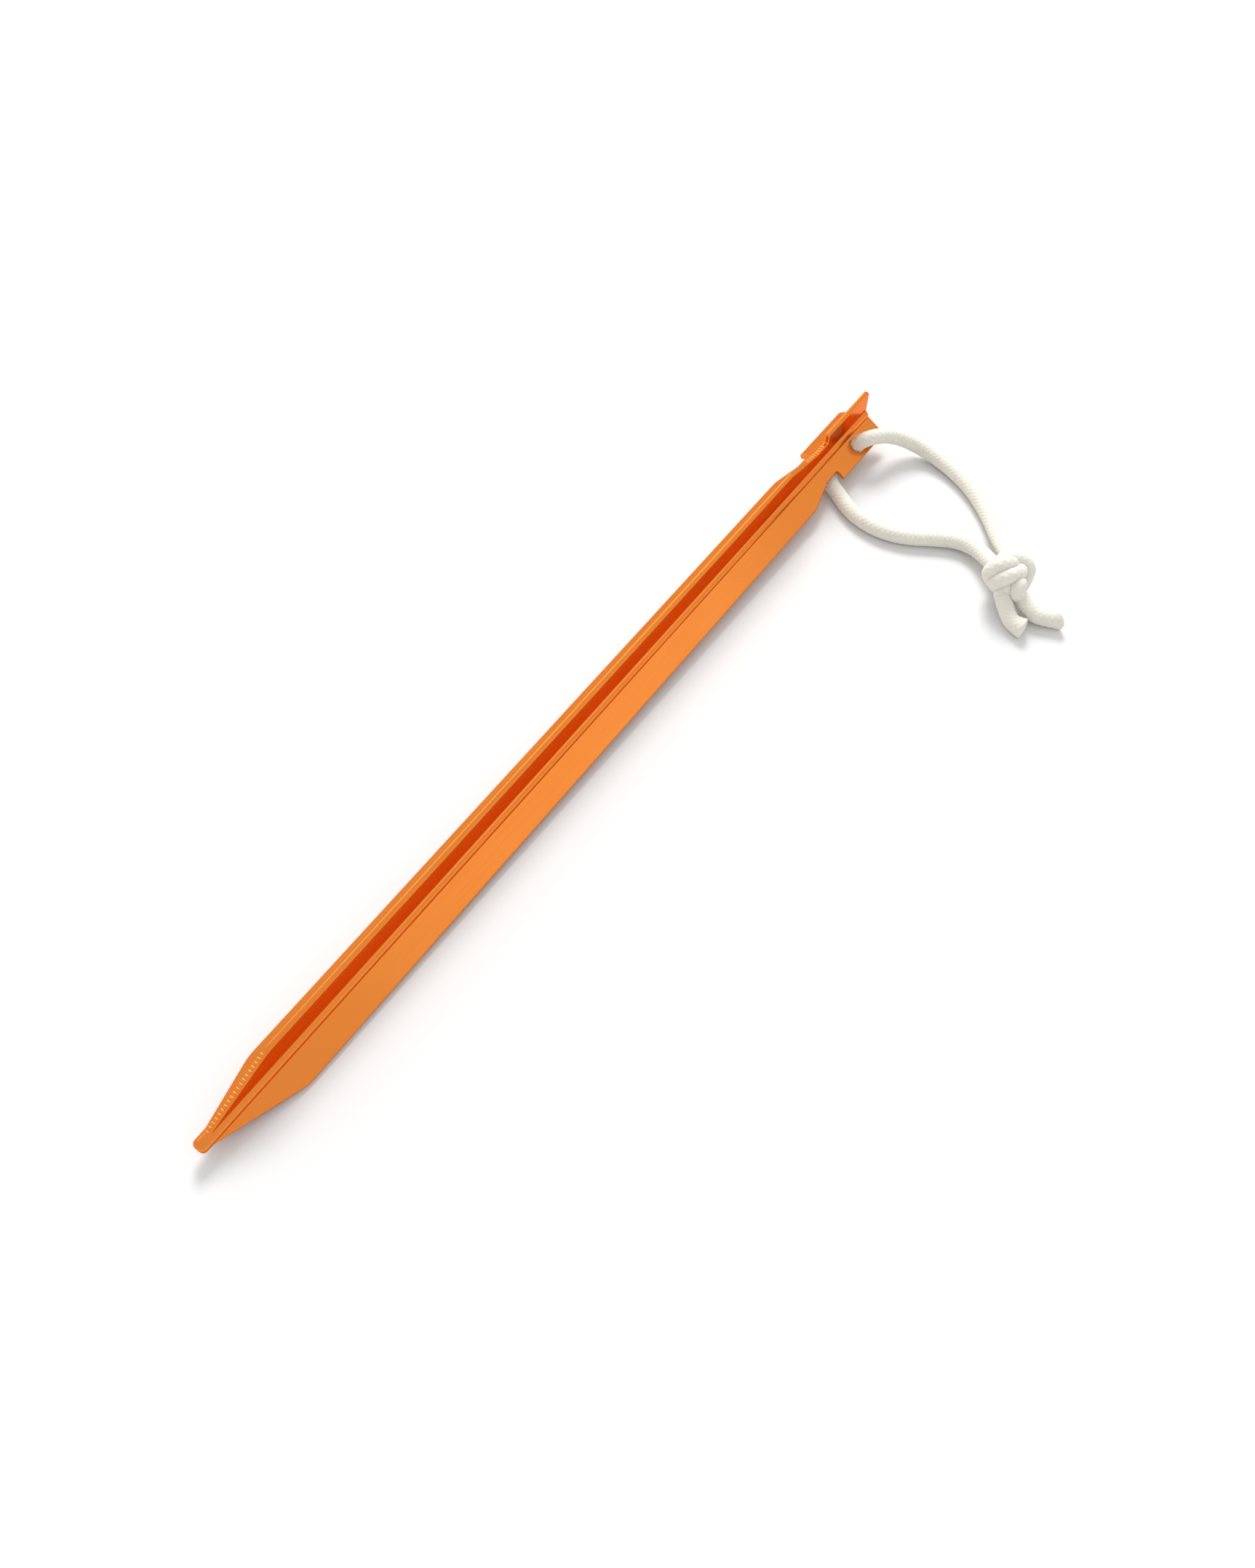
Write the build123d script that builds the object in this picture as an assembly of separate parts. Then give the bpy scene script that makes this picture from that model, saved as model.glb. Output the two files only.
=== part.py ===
from build123d import *
from math import cos, radians, sin, tan
import os

# A three-fin tent stake with a knotted pull loop. It lies on its two lower fins with the
# third fin up, and its head rests on the cord that comes out from under it.
# Millimetres. X runs from the point to the head, +Z is up, and the origin is on the
# ground under the middle of the stake.

# ---- Stake body: one extrusion, cut to shape -------------------------------------------
LENGTH = 178.0
FIN_REACH = 5.6  # from the stake's axis to a fin's outer edge
FIN_THICKNESS = 0.95
FIN_ROOT = 0.2  # how far off the axis a fin starts, well inside the core
EDGE_ROUND = 0.28
CORE_RADIUS = 1.2
TIP_ROUND = 0.8
TIP_LENGTH = 1.1  # bare core ahead of the three tapers
TAPER_ROUND = 6.0  # where a taper meets the straight edge

HOOK_FROM_HEAD = 14.7  # head end to the square face of the notches
NOTCH_REACH = 3.65  # from the axis to a notch's floor
NOTCH_FLOOR = 3.6
HOOK_ROUND = 0.3
RAMP_ROUND = 4.0  # where a notch's ramp meets the straight edge
HEAD_ROUND = 0.7

HOLE_RADIUS = 1.6  # in the right fin, for the pull cord
HOLE_FROM_HEAD = 6.9
HOLE_REACH = 3.12

# Marks of the cutter's teeth across the tapers, the foot of the ramps and the notches'
# floors. They are deepest at one edge of the cut.
MARK_PITCH = 0.7
MARK_RADIUS = 0.4
MARK_DEPTH = 0.07
MARK_LEAN = 12.0
MARKED_SHARE_OF_RAMP = 0.4

# Each fin's angle about the axis, seen from the head with +Y to the right, the length of
# its taper, the length of its notch's ramp, and which way its cutter marks lean. They were
# cut one by one, so they differ.
FINS = {
    "upper": (90.0, 15.1, 8.8, -1),
    "right": (210.0, 16.2, 6.4, 1),
    "left": (-30.0, 14.2, 5.2, -1),
}

# The head is held up by the cord under it.
PITCH = 0.9

# ---- Pull cord -------------------------------------------------------------------------
CORD_DIAMETER = 2.9
SHARE_OF_RUN = 0.45  # how much of the shorter run beside it an arc may take
JOINT_GAP = 0.3  # between the still part of the cord and the part that swings

# The free end of the loop, from the knot to the hinge line on the head's side.
UPPER_ROUTE = [
    (73.3, -40.1, 4.1),
    (77.3, -36.4, 2.4),
    (81.8, -32.6, 1.6),
    (85.7, -28.1, 1.45),
    (88.7, -23.2, 1.45),
    (90.5, -18.2, 1.45),
    (91.1, -13.4, 1.9),
    (89.9, -9.6, 3.3),
    (87.3, -6.7, 5.0),
]
# From there over the right fin, down through its hole, along under it and out of the
# notch, to the hinge line on the notch's side.
BIGHT_ROUTE = [
    (87.3, -6.7, 5.0),
    (83.7, -5.0, 6.3),
    (82.1, -3.3, 5.25),
    (82.1, -2.05, 3.1),
    (80.2, -1.05, 1.5),
    (76.6, -0.9, 1.45),
    (73.2, -2.4, 1.45),
    (71.1, -6.1, 1.45),
]
# Back to the knot.
LOWER_ROUTE = [
    (71.1, -6.1, 1.45),
    (69.4, -8.9, 1.45),
    (68.2, -12.4, 1.45),
    (68.0, -16.7, 1.45),
    (69.4, -21.4, 1.45),
    (72.2, -25.6, 1.45),
    (74.4, -29.9, 1.6),
    (73.8, -34.4, 2.2),
    (70.8, -38.3, 3.6),
]
SHORT_TAIL_ROUTE = [
    (65.2, -42.7, 3.8),
    (63.7, -44.7, 2.3),
    (62.5, -46.9, 1.45),
    (62.7, -49.0, 1.45),
]
LONG_TAIL_ROUTE = [
    (67.4, -44.9, 3.6),
    (66.4, -47.2, 2.3),
    (66.5, -50.1, 1.45),
    (68.5, -52.9, 1.45),
]

# The knot fills this egg, lying flat on the ground.
KNOT_CENTRE = (68.9, -42.2, 4.0)
KNOT_HALF_LENGTH = 4.9
KNOT_HALF_WIDTH = 4.0
KNOT_HEADING = 40.0  # of its long axis, in the ground plane, from -X towards -Y

CORD_RADIUS = CORD_DIAMETER / 2


def fin_outline(taper_length, ramp_length):
    """One fin seen from its side: X along the stake, Y away from the axis."""
    hook = LENGTH - HOOK_FROM_HEAD
    ramp_start = hook - NOTCH_FLOOR
    corners = {
        (TIP_LENGTH, FIN_ROOT): 0,
        (TIP_LENGTH, CORE_RADIUS - EDGE_ROUND): 0,
        (taper_length, FIN_REACH): TAPER_ROUND,
        (ramp_start - ramp_length, FIN_REACH): RAMP_ROUND,
        (ramp_start, NOTCH_REACH): HOOK_ROUND,
        (hook, NOTCH_REACH): HOOK_ROUND,
        (hook, FIN_REACH): HOOK_ROUND,
        (LENGTH, FIN_REACH): HEAD_ROUND,
        (LENGTH, FIN_ROOT): 0,
    }
    face = make_face(Polyline(*corners, close=True))
    for corner, radius in corners.items():
        if radius:
            point = Vector(*corner)
            nearest = min(face.vertices(), key=lambda v: (v.center() - point).length)
            face = fillet(nearest, radius)
    return face


def cutter_marks(start, end, lean):
    """Shallow cylinders in a row across the cut edge that runs from start to end."""
    start, end = Vector(*start), Vector(*end)
    along = (end - start).normalized()
    count = int((end - start).length / MARK_PITCH)
    tooth = Cylinder(MARK_RADIUS, 3 * FIN_THICKNESS)
    marks = []
    for i in range(count):
        place = Plane(origin=start + along * MARK_PITCH * (i + 0.5), x_dir=along, z_dir=(0, 0, 1))
        marks.append(place * Pos(0, MARK_RADIUS - MARK_DEPTH, 0) * Rot(lean * MARK_LEAN, 0, 0) * tooth)
    return marks


def fin(taper_length, ramp_length, lean):
    """A fin of full thickness standing along +Y, with its outer edges rounded."""
    plate = extrude(fin_outline(taper_length, ramp_length), FIN_THICKNESS / 2, both=True)
    side_edges = [
        edge
        for edge in plate.edges()
        if abs(abs(edge.center().Z) - FIN_THICKNESS / 2) < 1e-6
        and edge.center().Y > FIN_ROOT + 1e-6
        and edge.center().X > TIP_LENGTH + 1e-6
    ]
    hook = LENGTH - HOOK_FROM_HEAD
    ramp_start = hook - NOTCH_FLOOR
    ramp_foot = (
        ramp_start - MARKED_SHARE_OF_RAMP * ramp_length,
        NOTCH_REACH + MARKED_SHARE_OF_RAMP * (FIN_REACH - NOTCH_REACH),
    )
    notch_start = (ramp_start, NOTCH_REACH)
    notch_end = (hook - HOOK_ROUND, NOTCH_REACH)
    marks = (
        cutter_marks((TIP_LENGTH, CORE_RADIUS - EDGE_ROUND), (taper_length, FIN_REACH), lean)
        + cutter_marks(ramp_foot, notch_start, lean)
        + cutter_marks(notch_start, notch_end, lean)
    )
    return fillet(side_edges, EDGE_ROUND) - marks


def about_axis(angle):
    """Turns what stands along +Y to the given angle about the stake's axis."""
    return Rot(angle, 0, 0)


def core():
    rod = Plane.YZ * Cylinder(CORE_RADIUS, LENGTH, align=(Align.CENTER, Align.CENTER, Align.MIN))
    rod = fillet(rod.edges().sort_by(Axis.X)[0], TIP_ROUND)
    return chamfer(rod.edges().sort_by(Axis.X)[-1], EDGE_ROUND)


def level_stake():
    """The stake with its axis along X and its point at the origin."""
    body = core()
    for angle, taper_length, ramp_length, lean in FINS.values():
        body += about_axis(angle) * fin(taper_length, ramp_length, lean)
    drill = Cylinder(HOLE_RADIUS, FIN_REACH)
    right_angle = FINS["right"][0]
    return body - about_axis(right_angle) * Pos(LENGTH - HOLE_FROM_HEAD, HOLE_REACH, 0) * drill


def resting_place(body):
    """Moves the level stake to its place on the ground, head up on the cord."""
    tipped = Rot(0, -PITCH, 0)
    box = (tipped * body).bounding_box()
    return Pos(-box.center().X, -box.center().Y, -box.min.Z) * tipped


def corner_radii(route):
    """The arc at each inner point: as large as the runs on both sides allow."""
    radii = []
    for before, here, after in zip(route, route[1:], route[2:]):
        run_in = Vector(*here) - Vector(*before)
        run_out = Vector(*after) - Vector(*here)
        half_turn = radians(run_in.get_angle(run_out)) / 2
        radii.append(SHARE_OF_RUN * min(run_in.length, run_out.length) / tan(half_turn))
    return radii


def tube(name, route):
    """A round cord along a route, as straight runs joined by tangent arcs."""
    radii = corner_radii(route)
    path = FilletPolyline(*route, radius=radii)
    section = Plane(origin=path @ 0, z_dir=path % 0) * Circle(CORD_RADIUS)
    solid = sweep(section, path=path)
    expected = section.area * path.length
    print(f"{name}: length {path.length:.1f}, radii {[round(r, 1) for r in radii]},")
    print(f"    volume {solid.volume:.1f} of {expected:.1f}")
    return solid


def pulled_back(end, inward):
    """The point on the run from end to inward that leaves room for the swinging part."""
    end, inward = Vector(*end), Vector(*inward)
    return tuple(end + (inward - end).normalized() * (CORD_RADIUS + JOINT_GAP))


def still_bight():
    first = pulled_back(BIGHT_ROUTE[0], BIGHT_ROUTE[1])
    last = pulled_back(BIGHT_ROUTE[-1], BIGHT_ROUTE[-2])
    return tube("cord_bight", [first, *BIGHT_ROUTE[1:-1], last])


def swinging_run(name, route, hinge_point):
    """A run of the loop with a ball end on the hinge line, so it turns in place."""
    return tube(name, route) + Pos(*hinge_point) * Sphere(CORD_RADIUS)


def knot():
    """The outer shape of the overhand knot in the doubled cord."""
    half = Ellipse(KNOT_HALF_LENGTH, KNOT_HALF_WIDTH) & Pos(0, KNOT_HALF_WIDTH) * Rectangle(
        2 * KNOT_HALF_LENGTH, 2 * KNOT_HALF_WIDTH
    )
    return Pos(*KNOT_CENTRE) * Rot(0, 0, KNOT_HEADING) * revolve(half, Axis.X)


def build():
    level = level_stake()
    place = resting_place(level)
    hole = place * about_axis(FINS["right"][0]) * Pos(LENGTH - HOLE_FROM_HEAD, HOLE_REACH, 0)
    head = place * Pos(LENGTH, 0, 0)
    print("hole centre", hole.position, "head end centre", head.position)
    print("head end normal", (cos(radians(PITCH)), 0, sin(radians(PITCH))))
    return {
        "stake_body": place * level,
        "cord_bight": still_bight(),
        "loop_run_head_side": swinging_run("loop_run_head_side", UPPER_ROUTE, UPPER_ROUTE[-1]),
        "loop_run_notch_side": swinging_run("loop_run_notch_side", LOWER_ROUTE, LOWER_ROUTE[0]),
        "overhand_knot": knot(),
        "cord_tail_short": tube("cord_tail_short", SHORT_TAIL_ROUTE),
        "cord_tail_long": tube("cord_tail_long", LONG_TAIL_ROUTE),
    }


os.makedirs("parts", exist_ok=True)
for node, shape in build().items():
    export_step(shape, f"parts/{node}.step")
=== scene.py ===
from math import pi, radians

import bpy
import numpy as np
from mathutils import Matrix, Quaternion, Vector


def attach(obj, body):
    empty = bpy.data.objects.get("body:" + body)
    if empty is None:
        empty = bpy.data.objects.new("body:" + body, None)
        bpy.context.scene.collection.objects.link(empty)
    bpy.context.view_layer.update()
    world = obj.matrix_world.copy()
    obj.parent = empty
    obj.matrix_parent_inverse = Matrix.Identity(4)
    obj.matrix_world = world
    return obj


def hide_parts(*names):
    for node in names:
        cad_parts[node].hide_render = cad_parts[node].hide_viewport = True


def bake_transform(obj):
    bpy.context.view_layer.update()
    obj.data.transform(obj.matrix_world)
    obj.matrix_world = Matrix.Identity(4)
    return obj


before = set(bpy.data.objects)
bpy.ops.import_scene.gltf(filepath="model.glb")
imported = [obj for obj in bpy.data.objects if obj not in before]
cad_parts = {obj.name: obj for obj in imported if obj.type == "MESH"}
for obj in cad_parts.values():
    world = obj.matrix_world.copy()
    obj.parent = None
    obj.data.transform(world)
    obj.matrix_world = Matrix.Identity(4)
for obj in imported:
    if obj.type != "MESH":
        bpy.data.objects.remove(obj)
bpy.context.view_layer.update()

# A tent stake of orange anodised aluminium with a pull loop of white braided cord. The
# stake is the CAD node with a finish of its own. The cord, its knot and its two cut ends
# replace plain CAD tubes. Everything is in metres, in the CAD's frame.
MM = 0.001

# ---- Camera and floor ------------------------------------------------------------------
CAMERA_AIM = Vector((-0.0041, -0.0113, 0))
CAMERA_DISTANCE = 0.2259
CAMERA_AZIMUTH = radians(-54.9)
CAMERA_ELEVATION = radians(56.9)
CAMERA_ROLL = radians(1.0)
LENS = 31.7
FLOOR_SIDE = 8.0

# ---- Cord routes, from the knot round the loop and back to it --------------------------
UPPER_ROUTE = [
    (0.0733, -0.0401, 0.0041),
    (0.0773, -0.0364, 0.0024),
    (0.0818, -0.0326, 0.0016),
    (0.0857, -0.0281, 0.00145),
    (0.0887, -0.0232, 0.00145),
    (0.0905, -0.0182, 0.00145),
    (0.0911, -0.0134, 0.0019),
    (0.0899, -0.0096, 0.0033),
    (0.0873, -0.0067, 0.0050),
]
BIGHT_ROUTE = [
    (0.0873, -0.0067, 0.0050),
    (0.0837, -0.0050, 0.0063),
    (0.0821, -0.0033, 0.00525),
    (0.0821, -0.00205, 0.0031),
    (0.0802, -0.00105, 0.0015),
    (0.0766, -0.0009, 0.00145),
    (0.0732, -0.0024, 0.00145),
    (0.0711, -0.0061, 0.00145),
]
LOWER_ROUTE = [
    (0.0711, -0.0061, 0.00145),
    (0.0694, -0.0089, 0.00145),
    (0.0682, -0.0124, 0.00145),
    (0.0680, -0.0167, 0.00145),
    (0.0694, -0.0214, 0.00145),
    (0.0722, -0.0256, 0.00145),
    (0.0744, -0.0299, 0.0016),
    (0.0738, -0.0344, 0.0022),
    (0.0708, -0.0383, 0.0036),
]
SHORT_TAIL_ROUTE = [
    (0.0652, -0.0427, 0.0038),
    (0.0637, -0.0447, 0.0023),
    (0.0625, -0.0469, 0.00145),
    (0.0627, -0.0490, 0.00145),
]
LONG_TAIL_ROUTE = [
    (0.0674, -0.0449, 0.0036),
    (0.0664, -0.0472, 0.0023),
    (0.0665, -0.0501, 0.00145),
    (0.0685, -0.0529, 0.00145),
]

# ---- Braid of the cord's sheath --------------------------------------------------------
CORD_RADIUS = 1.45 * MM
CARRIERS = 16  # bundles of yarn, half of them winding each way
PITCH = 0.9 * MM  # along the cord, from one bundle to the next
BUNDLE_HEIGHT = 0.09 * MM
BUNDLE_MIDDLE = 0.7  # the part of a bundle's height that lies inside the cord's radius
BUNDLE_BACK = 0.6  # roundness of a bundle across; the smaller, the flatter its back
BUNDLE_CROSSING = 0.5  # the same lengthwise, where it dives under the next one
RING = 96  # points round the cord
STEP = PITCH / 8  # between rings
WAY = 8  # rings over which a line's direction at its end is taken
FILAMENT = 0.09 * MM  # coarser than real, so that the yarn shows

# ---- Cut and melted ends ---------------------------------------------------------------
SWELL = 0.3
SWELL_LENGTH = 1.8 * MM
RIM = 0.5 * MM
END_FACE = 0.45  # of the cord's radius, where the rim's rounding starts
SLANT = 0.5  # of the cut on the second end; the first is cut square
SLANT_LENGTH = 3 * MM

# ---- Knot ------------------------------------------------------------------------------
KNOT_HAND = -1
KNOT_ROLL = radians(150)  # of the knot about its own long axis
CORD_IN_KNOT = 22.5 * MM  # what each strand is pulled towards; the squeeze keeps it longer
KNOT_POINTS = 46  # on each strand
RUN_INTO_KNOT = 3.1 * MM  # how far the loop's runs go in before they turn
SQUEEZED = 1.95 * MM  # between two strands' lines where the knot presses them together
STRAND_OFFSET = 1.3 * MM  # of each strand from the middle of the loose knot's pair
LOOSE_REACH = 2.25  # of the loose knot's curve, each way from its middle
LOOSE_POINTS = 300
LOOSE_WIDTH, LOOSE_LENGTH, LOOSE_HEIGHT = 3.0, 1.0, 1.7  # mm for each unit of the curve
TIGHTENING = 450  # rounds of pulling
ENDS_IN_PLACE = 0.4  # share of the rounds until the strands' ends reach loop and tails
PULLED_TIGHT = 0.7  # share of the rounds until no slack is left
EVENING = 0.15  # how far a round moves a point towards the middle of the two beside it
PUSHING = 0.3  # how far it moves points apart that lie too close, for what they overlap
CORRECTIONS = 4  # of the links and the overlaps in each round
NEIGHBOURHOOD = 1.3  # squeezed widths along a strand, where its own points don't push
SAME_PLACE = 1e-6

# ---- Scale of the finishes -------------------------------------------------------------
DIE_LINE_SPACING = 0.35 * MM  # coarser than real, so that the lines show
DIE_LINE_STRETCH = 60
DYE_BLOTCH = 22 * MM
YARN_BLOTCH = 1.6 * MM
MIX_FIRST, MIX_SECOND, MIXED = 6, 7, 2  # sockets of a Mix node when it mixes colours


# ======================================== Meshes ========================================
def unit(v):
    return v / np.linalg.norm(v, axis=-1, keepdims=True)


def distance_along(line):
    return np.concatenate([[0], np.cumsum(np.linalg.norm(np.diff(line, axis=0), axis=1))])


def evenly(line, count):
    """That many points along a line, evenly spaced."""
    run = distance_along(line)
    at = np.linspace(0, run[-1], count)
    return np.stack([np.interp(at, run, line[:, axis]) for axis in range(3)], axis=1)


def smooth_line(name, points):
    """Points about a step apart along the smooth NURBS line that a route controls."""
    curve = bpy.data.curves.new(name, "CURVE")
    curve.dimensions = "3D"
    curve.resolution_u = 40
    spline = curve.splines.new("NURBS")
    spline.points.add(len(points) - 1)
    for place, point in zip(spline.points, points):
        place.co = (*point, 1)
    spline.order_u = 3
    spline.use_endpoint_u = True
    holder = bpy.data.objects.new(name, curve)
    mesh = bpy.data.meshes.new_from_object(holder)
    line = np.array([v.co for v in mesh.vertices])
    bpy.data.objects.remove(holder)
    bpy.data.meshes.remove(mesh)
    bpy.data.curves.remove(curve)
    return evenly(line, max(int(round(distance_along(line)[-1] / STEP)), 2) + 1)


def frames_along(line, rise=(0.31, 0.17, 0.93)):
    """The direction of a line at each point, and two more square to it that don't twist.

    The first of the two starts out square to rise as well.
    """
    ahead = unit(np.gradient(line, axis=0))
    sideways = unit(np.cross(ahead[0], rise))
    side = []
    for direction in ahead:
        sideways = unit(sideways - direction * (direction @ sideways))
        side.append(sideways)
    side = np.array(side)
    return ahead, side, np.cross(ahead, side)


def braid_relief(along, around):
    """How high the sheath stands, from 0 to 1: bundles of yarn cross over and under."""
    one_way = CARRIERS / 2 * around + along / PITCH
    other_way = CARRIERS / 2 * around - along / PITCH
    over = (np.floor(one_way) + np.floor(other_way)) % 2 < 1
    across = np.where(over, one_way, other_way) % 1
    lengthwise = np.where(over, other_way, one_way) % 1
    return np.sin(pi * across) ** BUNDLE_BACK * np.sin(pi * lengthwise) ** BUNDLE_CROSSING


def braid(line, radius):
    """Rings of points round the whole cord, and how far along it each ring is."""
    ahead, side, rise = frames_along(line)
    along = distance_along(line)
    turn = 2 * pi * np.arange(RING)[None, :, None] / RING
    outward = np.cos(turn) * side[:, None] + np.sin(turn) * rise[:, None]
    deep = BUNDLE_HEIGHT * np.clip(radius / CORD_RADIUS, 0, 1)
    relief = braid_relief(along[:, None], np.arange(RING)[None, :] / RING)
    height = radius[:, None] + deep[:, None] * (relief - BUNDLE_MIDDLE)
    return line[:, None] + outward * height[..., None], along


def cut_end(line, slant):
    """The share of the cord's radius beside a cut end at the line's start, and each ring's
    slant. The melted end swells a little, and its rim is round."""
    away = distance_along(line)
    swelling = 1 + SWELL * np.exp(-((away / SWELL_LENGTH) ** 2))
    rim = np.sqrt(1 - (1 - away / RIM).clip(0, 1) ** 2)
    slanting = slant * (1 - away / SLANT_LENGTH).clip(0, 1) ** 2
    return swelling * (END_FACE + (1 - END_FACE) * rim), slanting


def braided_cord(line):
    """The braid round a whole cord, with its two cut ends."""
    first_shape, first_slant = cut_end(line, 0)
    second_shape, second_slant = cut_end(line[::-1], SLANT)
    rings, along = braid(line, CORD_RADIUS * first_shape * second_shape[::-1])
    for slanting, way in (
        (first_slant, line[0] - line[WAY + 1]),
        (second_slant[::-1], line[-1] - line[-WAY - 2]),
    ):
        sideways = (rings - line[:, None]) @ unit(np.cross(way, (0, 0, 1)))
        rings += (slanting[:, None] * sideways)[..., None] * unit(way)
    rings[..., 2] = rings[..., 2].clip(0)  # the swollen ends lie flat on the ground
    return rings, along


def cord_piece(name, rings, along, stretches, finish):
    """One mesh object from one or more stretches of the cord, each closed at both ends."""
    points, faces, uvs = [], [], []
    for first, last in stretches:
        base = sum(len(p) for p in points)
        count = last - first + 1
        points.append(rings[first : last + 1].reshape(-1, 3))
        # The caps have rings of their own, so that the side's shading doesn't bend to them.
        points.append(rings[[first, last]].reshape(-1, 3))
        points.append(rings[[first, last]].mean(axis=1))
        caps = base + count * RING
        for ring in range(count - 1):
            u, v = along[first + ring] / MM, along[first + ring + 1] / MM
            for k in range(RING):
                after = (k + 1) % RING
                low, high = base + ring * RING, base + (ring + 1) * RING
                faces.append((low + k, low + after, high + after, high + k))
                here, there = k / RING, (k + 1) / RING
                uvs += [(u, here), (u, there), (v, there), (v, here)]
        for k in range(RING):
            after = (k + 1) % RING
            faces.append((caps + after, caps + k, caps + 2 * RING))
            faces.append((caps + RING + k, caps + RING + after, caps + 2 * RING + 1))
            uvs += [(along[first] / MM, k / RING)] * 3 + [(along[last] / MM, k / RING)] * 3
    mesh = bpy.data.meshes.new(name)
    mesh.from_pydata(np.concatenate(points).tolist(), [], faces)
    layer = mesh.uv_layers.new(name="braid")
    layer.data.foreach_set("uv", np.array(uvs, np.float32).ravel())
    mesh.polygons.foreach_set("use_smooth", [True] * len(faces))
    mesh.materials.append(finish)
    piece = bpy.data.objects.new(name, mesh)
    bpy.context.scene.collection.objects.link(piece)
    return piece


# ========================================= Knot =========================================
def loose_knot(runs, tails):
    """Two strands side by side along a loose overhand knot, from the loop to the tails.

    The loose knot is so small that one strand, moved off its middle line, misses a crossing.
    That strand winds through the knot without being knotted itself.
    """
    axis = unit(tails[:, 0].mean(axis=0) - runs[:, 0].mean(axis=0))
    side = unit(np.cross(axis, (0, 0, 1)))
    rise = np.cross(side, axis)
    rolled = side * np.cos(KNOT_ROLL) + rise * np.sin(KNOT_ROLL)
    rise = rise * np.cos(KNOT_ROLL) - side * np.sin(KNOT_ROLL)
    t = np.linspace(-LOOSE_REACH, LOOSE_REACH, LOOSE_POINTS)[:, None]
    shape = (
        LOOSE_WIDTH * (t**3 - 3 * t) * KNOT_HAND * rolled
        + LOOSE_LENGTH * (t**5 - 10 * t) * axis
        + LOOSE_HEIGHT * (t**4 - 4 * t**2) * rise
    )
    middle = (tails[:, 0].mean(axis=0) + runs[:, 0].mean(axis=0)) / 2
    line = middle + MM * (shape - rise * (shape @ rise).mean())
    offset = STRAND_OFFSET * frames_along(line, rise)[1]
    return np.array([evenly(line - offset, KNOT_POINTS), evenly(line + offset, KNOT_POINTS)])


def nearest_first(ends, pairs):
    """The pairs (end, direction) in the order that is nearest to the strands' ends."""
    straight = np.linalg.norm(ends - pairs[:, 0], axis=1).sum()
    crossed = np.linalg.norm(ends - pairs[::-1, 0], axis=1).sum()
    return pairs if straight <= crossed else pairs[::-1]


def tie_knot(runs, tails):
    """Pulls the loose knot tight between the loop's two runs and the two tails.

    Each round shortens the strands a little, evens them out, and pushes apart what lies
    closer than two strands can be squeezed. The same start always gives the same knot.
    """
    strands = loose_knot(runs, tails)
    inlet = nearest_first(strands[:, 0], runs)
    outlet = nearest_first(strands[:, -1], tails)
    loose_in, loose_out = strands[:, 0].copy(), strands[:, -1].copy()
    loose_length = np.linalg.norm(np.diff(strands[1], axis=0), axis=1).sum()
    which, place = np.divmod(np.arange(2 * KNOT_POINTS), KNOT_POINTS)
    for step in range(TIGHTENING):
        pulled = min(1, step / (PULLED_TIGHT * TIGHTENING))
        link = (loose_length + (CORD_IN_KNOT - loose_length) * pulled) / (KNOT_POINTS - 1)
        reached = min(1, step / (ENDS_IN_PLACE * TIGHTENING))
        middle = strands[:, 1:-1]
        middle += EVENING * ((strands[:, :-2] + strands[:, 2:]) / 2 - middle)
        neighbours = (which[:, None] == which) & (
            abs(place[:, None] - place) < np.ceil(NEIGHBOURHOOD * SQUEEZED / link)
        )
        for _ in range(CORRECTIONS):
            for first in (0, 1):
                here, there = strands[:, first:-1:2], strands[:, first + 1 :: 2]
                here = here[:, : there.shape[1]]
                gap = there - here
                fix = (1 - link / np.linalg.norm(gap, axis=2, keepdims=True)) * gap / 2
                here += fix
                there -= fix
            every = strands.reshape(-1, 3)
            gap = every[:, None] - every
            distance = np.linalg.norm(gap, axis=2) + 1e-9
            deep = np.where((distance < SQUEEZED) & ~neighbours, SQUEEZED - distance, 0)
            np.fill_diagonal(deep, 0)
            push = (gap / distance[..., None] * deep[..., None]).sum(axis=1)
            shared = np.sqrt(np.maximum((deep > 0).sum(axis=1), 1))[:, None]
            every = every + PUSHING * push / shared
            every[:, 2] = np.maximum(every[:, 2], CORD_RADIUS)
            strands = every.reshape(2, KNOT_POINTS, 3)
            strands[:, 0] = loose_in + (inlet[:, 0] - loose_in) * reached
            strands[:, -1] = loose_out + (outlet[:, 0] - loose_out) * reached
            strands[:, 1] = strands[:, 0] + inlet[:, 1] * link
            strands[:, -2] = strands[:, -1] - outlet[:, 1] * link
    return strands


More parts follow.
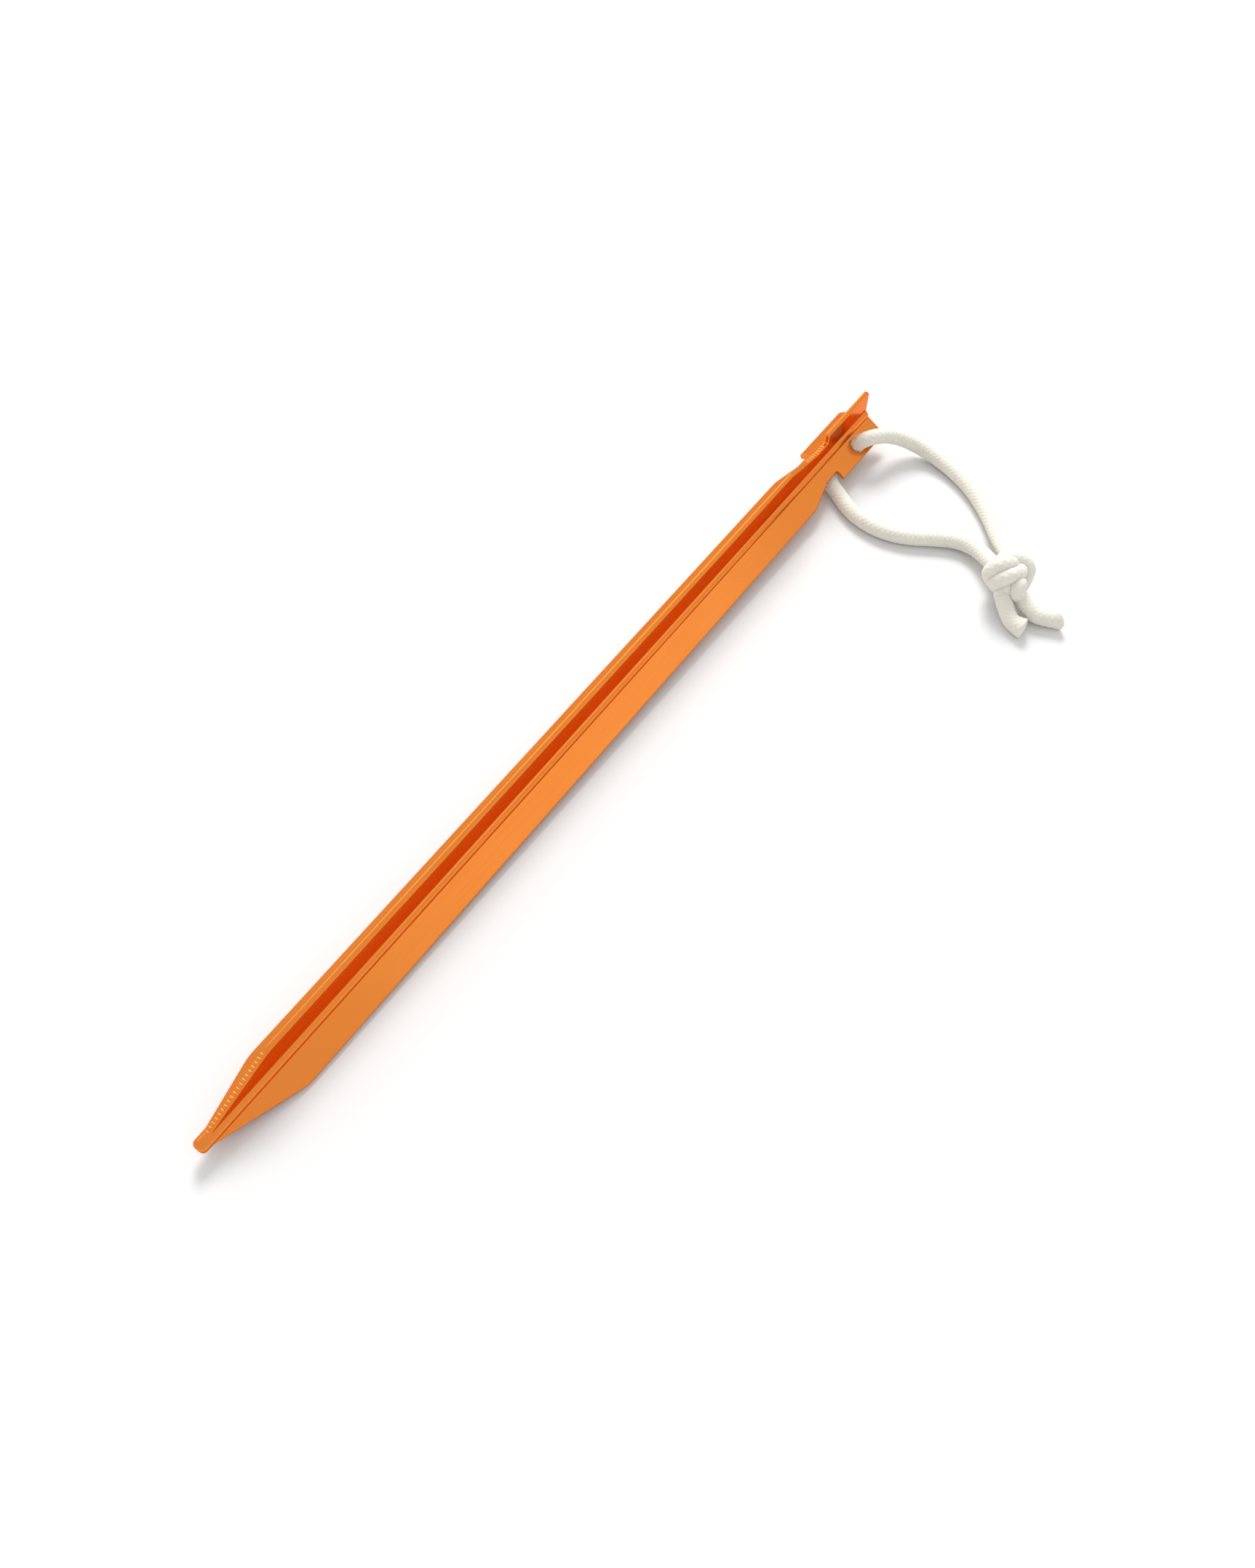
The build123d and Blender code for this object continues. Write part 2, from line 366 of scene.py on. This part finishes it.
def whole_cord(loop_line):
    """The cord as one line: a tail, its strand of the knot, the loop, the other strand and
    the other tail. Also where each of them ends along it, and the tails in order."""
    tail_lines = {
        "short": smooth_line("short_tail", SHORT_TAIL_ROUTE),
        "long": smooth_line("long_tail", LONG_TAIL_ROUTE),
    }
    # Where the loop's two runs and the tails meet the knot, and which way each goes.
    run_ways = unit(loop_line[[0, -1]] - loop_line[[WAY, -WAY - 1]])
    tail_ways = unit(np.array([line[WAY] - line[0] for line in tail_lines.values()]))
    run_ends = loop_line[[0, -1]]
    tail_ends = np.array([line[0] for line in tail_lines.values()])
    runs = np.stack([run_ends + RUN_INTO_KNOT * run_ways, run_ways], axis=1)
    tails = np.stack([tail_ends, tail_ways], axis=1)

    strands = tie_knot(runs, tails)
    if np.linalg.norm(strands[0][0] - runs[0][0]) > SAME_PLACE:
        strands = strands[::-1]
    tail_names = list(tail_lines)
    if np.linalg.norm(strands[0][-1] - tail_ends[0]) > SAME_PLACE:
        tail_names.reverse()
    through_knot = [
        smooth_line("knot_strand", [end, *strand]) for end, strand in zip(run_ends, strands)
    ]
    stretches = [
        tail_lines[tail_names[0]][::-1],
        through_knot[0][::-1],
        loop_line,
        through_knot[1],
        tail_lines[tail_names[1]],
    ]
    line = np.concatenate([stretches[0]] + [stretch[1:] for stretch in stretches[1:]])
    meets = np.cumsum([0] + [len(stretch) - 1 for stretch in stretches])
    return line, meets, tail_names


# ======================================= Materials ======================================
def linear(hex_colour):
    """A colour written as sRGB hex, as linear RGBA."""
    values = [int(hex_colour[i : i + 2], 16) / 255 for i in (1, 3, 5)]
    values = [v / 12.92 if v <= 0.04045 else ((v + 0.055) / 1.055) ** 2.4 for v in values]
    return (*values, 1.0)


def add_node(tree, kind, inputs=None, **settings):
    """Adds a node, with its settings, and values or links for its inputs."""
    node = tree.nodes.new("ShaderNode" + kind)
    for name, value in settings.items():
        setattr(node, name, value)
    for socket, value in (inputs or {}).items():
        if isinstance(value, bpy.types.NodeSocket):
            tree.links.new(value, node.inputs[socket])
        else:
            node.inputs[socket].default_value = value
    return node


def new_material(name):
    material = bpy.data.materials.new(name)
    material.use_nodes = True
    tree = material.node_tree
    return material, tree, tree.nodes["Principled BSDF"]


def orange_anodised_aluminium():
    """Extruded aluminium, dyed orange in a sealed anodic film. The film is clear and smooth
    over coloured metal, so where one fin mirrors another the orange deepens to red, and the
    dye still colours what it mirrors at a glancing angle. The die left faint lines along the
    fins."""
    material, tree, shader = new_material("orange_anodised_aluminium")
    where = add_node(tree, "TexCoord").outputs["Object"]
    drawn_out = (1 / DIE_LINE_STRETCH, 1, 1)
    stretched = add_node(tree, "Mapping", {"Vector": where, "Scale": drawn_out}).outputs[0]
    die_lines = add_node(
        tree, "TexNoise", {"Vector": stretched, "Scale": 1 / DIE_LINE_SPACING, "Detail": 3.0}
    ).outputs["Fac"]
    blotches = add_node(
        tree, "TexNoise", {"Vector": where, "Scale": 1 / DYE_BLOTCH, "Detail": 2.0}
    ).outputs["Fac"]
    dyes = {"Factor": blotches, MIX_FIRST: linear("#E67F28"), MIX_SECOND: linear("#ED8A33")}
    dye = add_node(tree, "Mix", dyes, data_type="RGBA").outputs[MIXED]
    tree.links.new(dye, shader.inputs["Base Color"])

    drawn = add_node(
        tree, "Bump", {"Height": die_lines, "Strength": 0.12, "Distance": 0.02 * MM}
    )
    tree.links.new(drawn.outputs[0], shader.inputs["Normal"])
    roughness = add_node(
        tree,
        "MapRange",
        {"Value": die_lines, "From Min": 0.3, "From Max": 0.7, "To Min": 0.18, "To Max": 0.26},
    )
    tree.links.new(roughness.outputs[0], shader.inputs["Roughness"])
    shader.inputs["Metallic"].default_value = 1.0
    shader.inputs["Specular Tint"].default_value = linear("#F2B084")
    shader.inputs["Coat Weight"].default_value = 0.3
    shader.inputs["Coat Roughness"].default_value = 0.1
    shader.inputs["Coat IOR"].default_value = 1.6
    return material


def white_braided_polyester():
    """Bright polyester yarn, braided: off-white, soft and a little see-through, with fine
    filaments that run along each bundle and a faint sheen at its edges."""
    material, tree, shader = new_material("white_braided_polyester")
    braid = add_node(tree, "UVMap", uv_map="braid").outputs[0]
    parts = add_node(tree, "SeparateXYZ", {"Vector": braid})
    along = add_node(
        tree, "Math", {0: parts.outputs["X"], 1: MM / PITCH}, operation="MULTIPLY"
    ).outputs[0]
    around = add_node(
        tree, "Math", {0: parts.outputs["Y"], 1: CARRIERS / 2}, operation="MULTIPLY"
    ).outputs[0]
    ways, floors = [], []
    for operation in ("ADD", "SUBTRACT"):
        way = add_node(tree, "Math", {0: around, 1: along}, operation=operation).outputs[0]
        ways.append(way)
        floors.append(add_node(tree, "Math", {0: way}, operation="FLOOR").outputs[0])
    cell = add_node(tree, "Math", {0: floors[0], 1: floors[1]}, operation="ADD").outputs[0]
    parity = add_node(tree, "Math", {0: cell, 1: 2.0}, operation="FLOORED_MODULO").outputs[0]
    under = add_node(tree, "Math", {0: parity, 1: 0.5}, operation="GREATER_THAN").outputs[0]
    across = add_node(tree, "Mix", {"Factor": under, "A": ways[0], "B": ways[1]})
    bundle_width = 2 * pi * CORD_RADIUS / (CARRIERS / 2)
    threads = add_node(
        tree,
        "Math",
        {0: across.outputs[0], 1: 2 * pi * bundle_width / FILAMENT},
        operation="MULTIPLY",
    ).outputs[0]
    filaments = add_node(tree, "Math", {0: threads}, operation="SINE").outputs[0]
    bump = add_node(
        tree, "Bump", {"Height": filaments, "Strength": 0.35, "Distance": 0.02 * MM}
    )
    tree.links.new(bump.outputs[0], shader.inputs["Normal"])

    where = add_node(tree, "TexCoord").outputs["Object"]
    uneven = add_node(
        tree, "TexNoise", {"Vector": where, "Scale": 1 / YARN_BLOTCH, "Detail": 3.0}
    ).outputs["Fac"]
    whites = {"Factor": uneven, MIX_FIRST: linear("#DAD7CA"), MIX_SECOND: linear("#E6E4DA")}
    yarn = add_node(tree, "Mix", whites, data_type="RGBA").outputs[MIXED]
    tree.links.new(yarn, shader.inputs["Base Color"])
    shader.inputs["Roughness"].default_value = 0.75
    shader.inputs["Subsurface Weight"].default_value = 0.25
    shader.inputs["Subsurface Radius"].default_value = (1.0, 0.95, 0.85)
    shader.inputs["Subsurface Scale"].default_value = 0.6 * MM
    shader.inputs["Sheen Weight"].default_value = 0.25
    shader.inputs["Sheen Roughness"].default_value = 0.5
    return material


def white_studio_paper():
    """Matte white paper, with no shine."""
    material, _, shader = new_material("white_studio_paper")
    shader.inputs["Base Color"].default_value = linear("#DCDCDC")
    shader.inputs["Roughness"].default_value = 0.9
    return material


# ===================================== Camera, light ====================================
def place_camera():
    camera = bpy.data.objects.new("camera", bpy.data.cameras.new("camera"))
    bpy.context.scene.collection.objects.link(camera)
    back = Vector(
        (
            np.sin(CAMERA_AZIMUTH) * np.cos(CAMERA_ELEVATION),
            -np.cos(CAMERA_AZIMUTH) * np.cos(CAMERA_ELEVATION),
            np.sin(CAMERA_ELEVATION),
        )
    )
    camera.location = CAMERA_AIM + back * CAMERA_DISTANCE
    camera.rotation_mode = "QUATERNION"
    camera.rotation_quaternion = (-back).to_track_quat("-Z", "Y") @ Quaternion(
        (0, 0, 1), CAMERA_ROLL
    )
    camera.data.lens = LENS
    camera.data.sensor_width = 36
    camera.data.clip_start = 0.01
    bpy.context.scene.camera = camera


def add_softbox(name, place, aim, size, power, mirrored=True):
    """A rounded softbox, its size in metres and its power in watts. One that isn't mirrored
    lights things but leaves no glint."""
    lamp = bpy.data.lights.new(name, "AREA")
    lamp.shape = "ELLIPSE"
    lamp.size, lamp.size_y = size
    lamp.energy = power
    box = bpy.data.objects.new(name, lamp)
    bpy.context.scene.collection.objects.link(box)
    box.location = place
    box.rotation_mode = "QUATERNION"
    box.rotation_quaternion = (Vector(aim) - Vector(place)).to_track_quat("-Z", "X")
    box.visible_glossy = mirrored


def light_studio():
    world = bpy.data.worlds.new("studio")
    bpy.context.scene.world = world
    world.use_nodes = True
    background = world.node_tree.nodes["Background"]
    background.inputs["Color"].default_value = (1, 1, 1, 1)
    background.inputs["Strength"].default_value = 0.88
    add_softbox("key", (0.82, 0.61, 0.96), (0, 0, 0), (0.55, 0.55), 15.5, mirrored=False)
    add_softbox("strip_behind", (0.42, 0.66, 0.50), (0, 0, 0), (0.5, 1.0), 2.2)
    add_softbox("panel_in_front", (0.34, -0.45, 0.60), (0, 0, 0), (0.4, 0.45), 0.13)


def lay_floor():
    half = FLOOR_SIDE / 2
    corners = [(-half, -half, 0), (half, -half, 0), (half, half, 0), (-half, half, 0)]
    mesh = bpy.data.meshes.new("floor")
    mesh.from_pydata(corners, [], [(0, 1, 2, 3)])
    mesh.materials.append(white_studio_paper())
    floor = bpy.data.objects.new("floor", mesh)
    bpy.context.scene.collection.objects.link(floor)


# ======================================= Building =======================================
def fit_pull_cord():
    """The braided cord in the place of the plain tubes, with its knot and its cut ends."""
    finish = white_braided_polyester()
    loop_line = smooth_line("pull_cord", UPPER_ROUTE + BIGHT_ROUTE[1:] + LOWER_ROUTE[1:])
    line, meets, tail_names = whole_cord(loop_line)
    rings, along = braided_cord(line)

    pull_cord = cord_piece("pull_cord", rings, along, [meets[2:4]], finish)
    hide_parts("cord_bight", "loop_run_head_side", "loop_run_notch_side")
    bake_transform(pull_cord)

    through_knot = [meets[1:3], meets[3:5]]
    overhand_knot = cord_piece("overhand_knot_cord", rings, along, through_knot, finish)
    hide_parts("overhand_knot")
    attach(overhand_knot, "pull_loop")

    for name, stretch in zip(tail_names, (meets[:2], meets[4:6])):
        tail = cord_piece(f"{name}_cut_tail", rings, along, [stretch], finish)
        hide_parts(f"cord_tail_{name}")
        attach(tail, "pull_loop")


def anodise_stake():
    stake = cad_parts["stake_body"]
    stake.data.materials.clear()
    stake.data.materials.append(orange_anodised_aluminium())


bpy.context.scene.view_settings.view_transform = "Standard"
place_camera()
light_studio()
lay_floor()
fit_pull_cord()
anodise_stake()
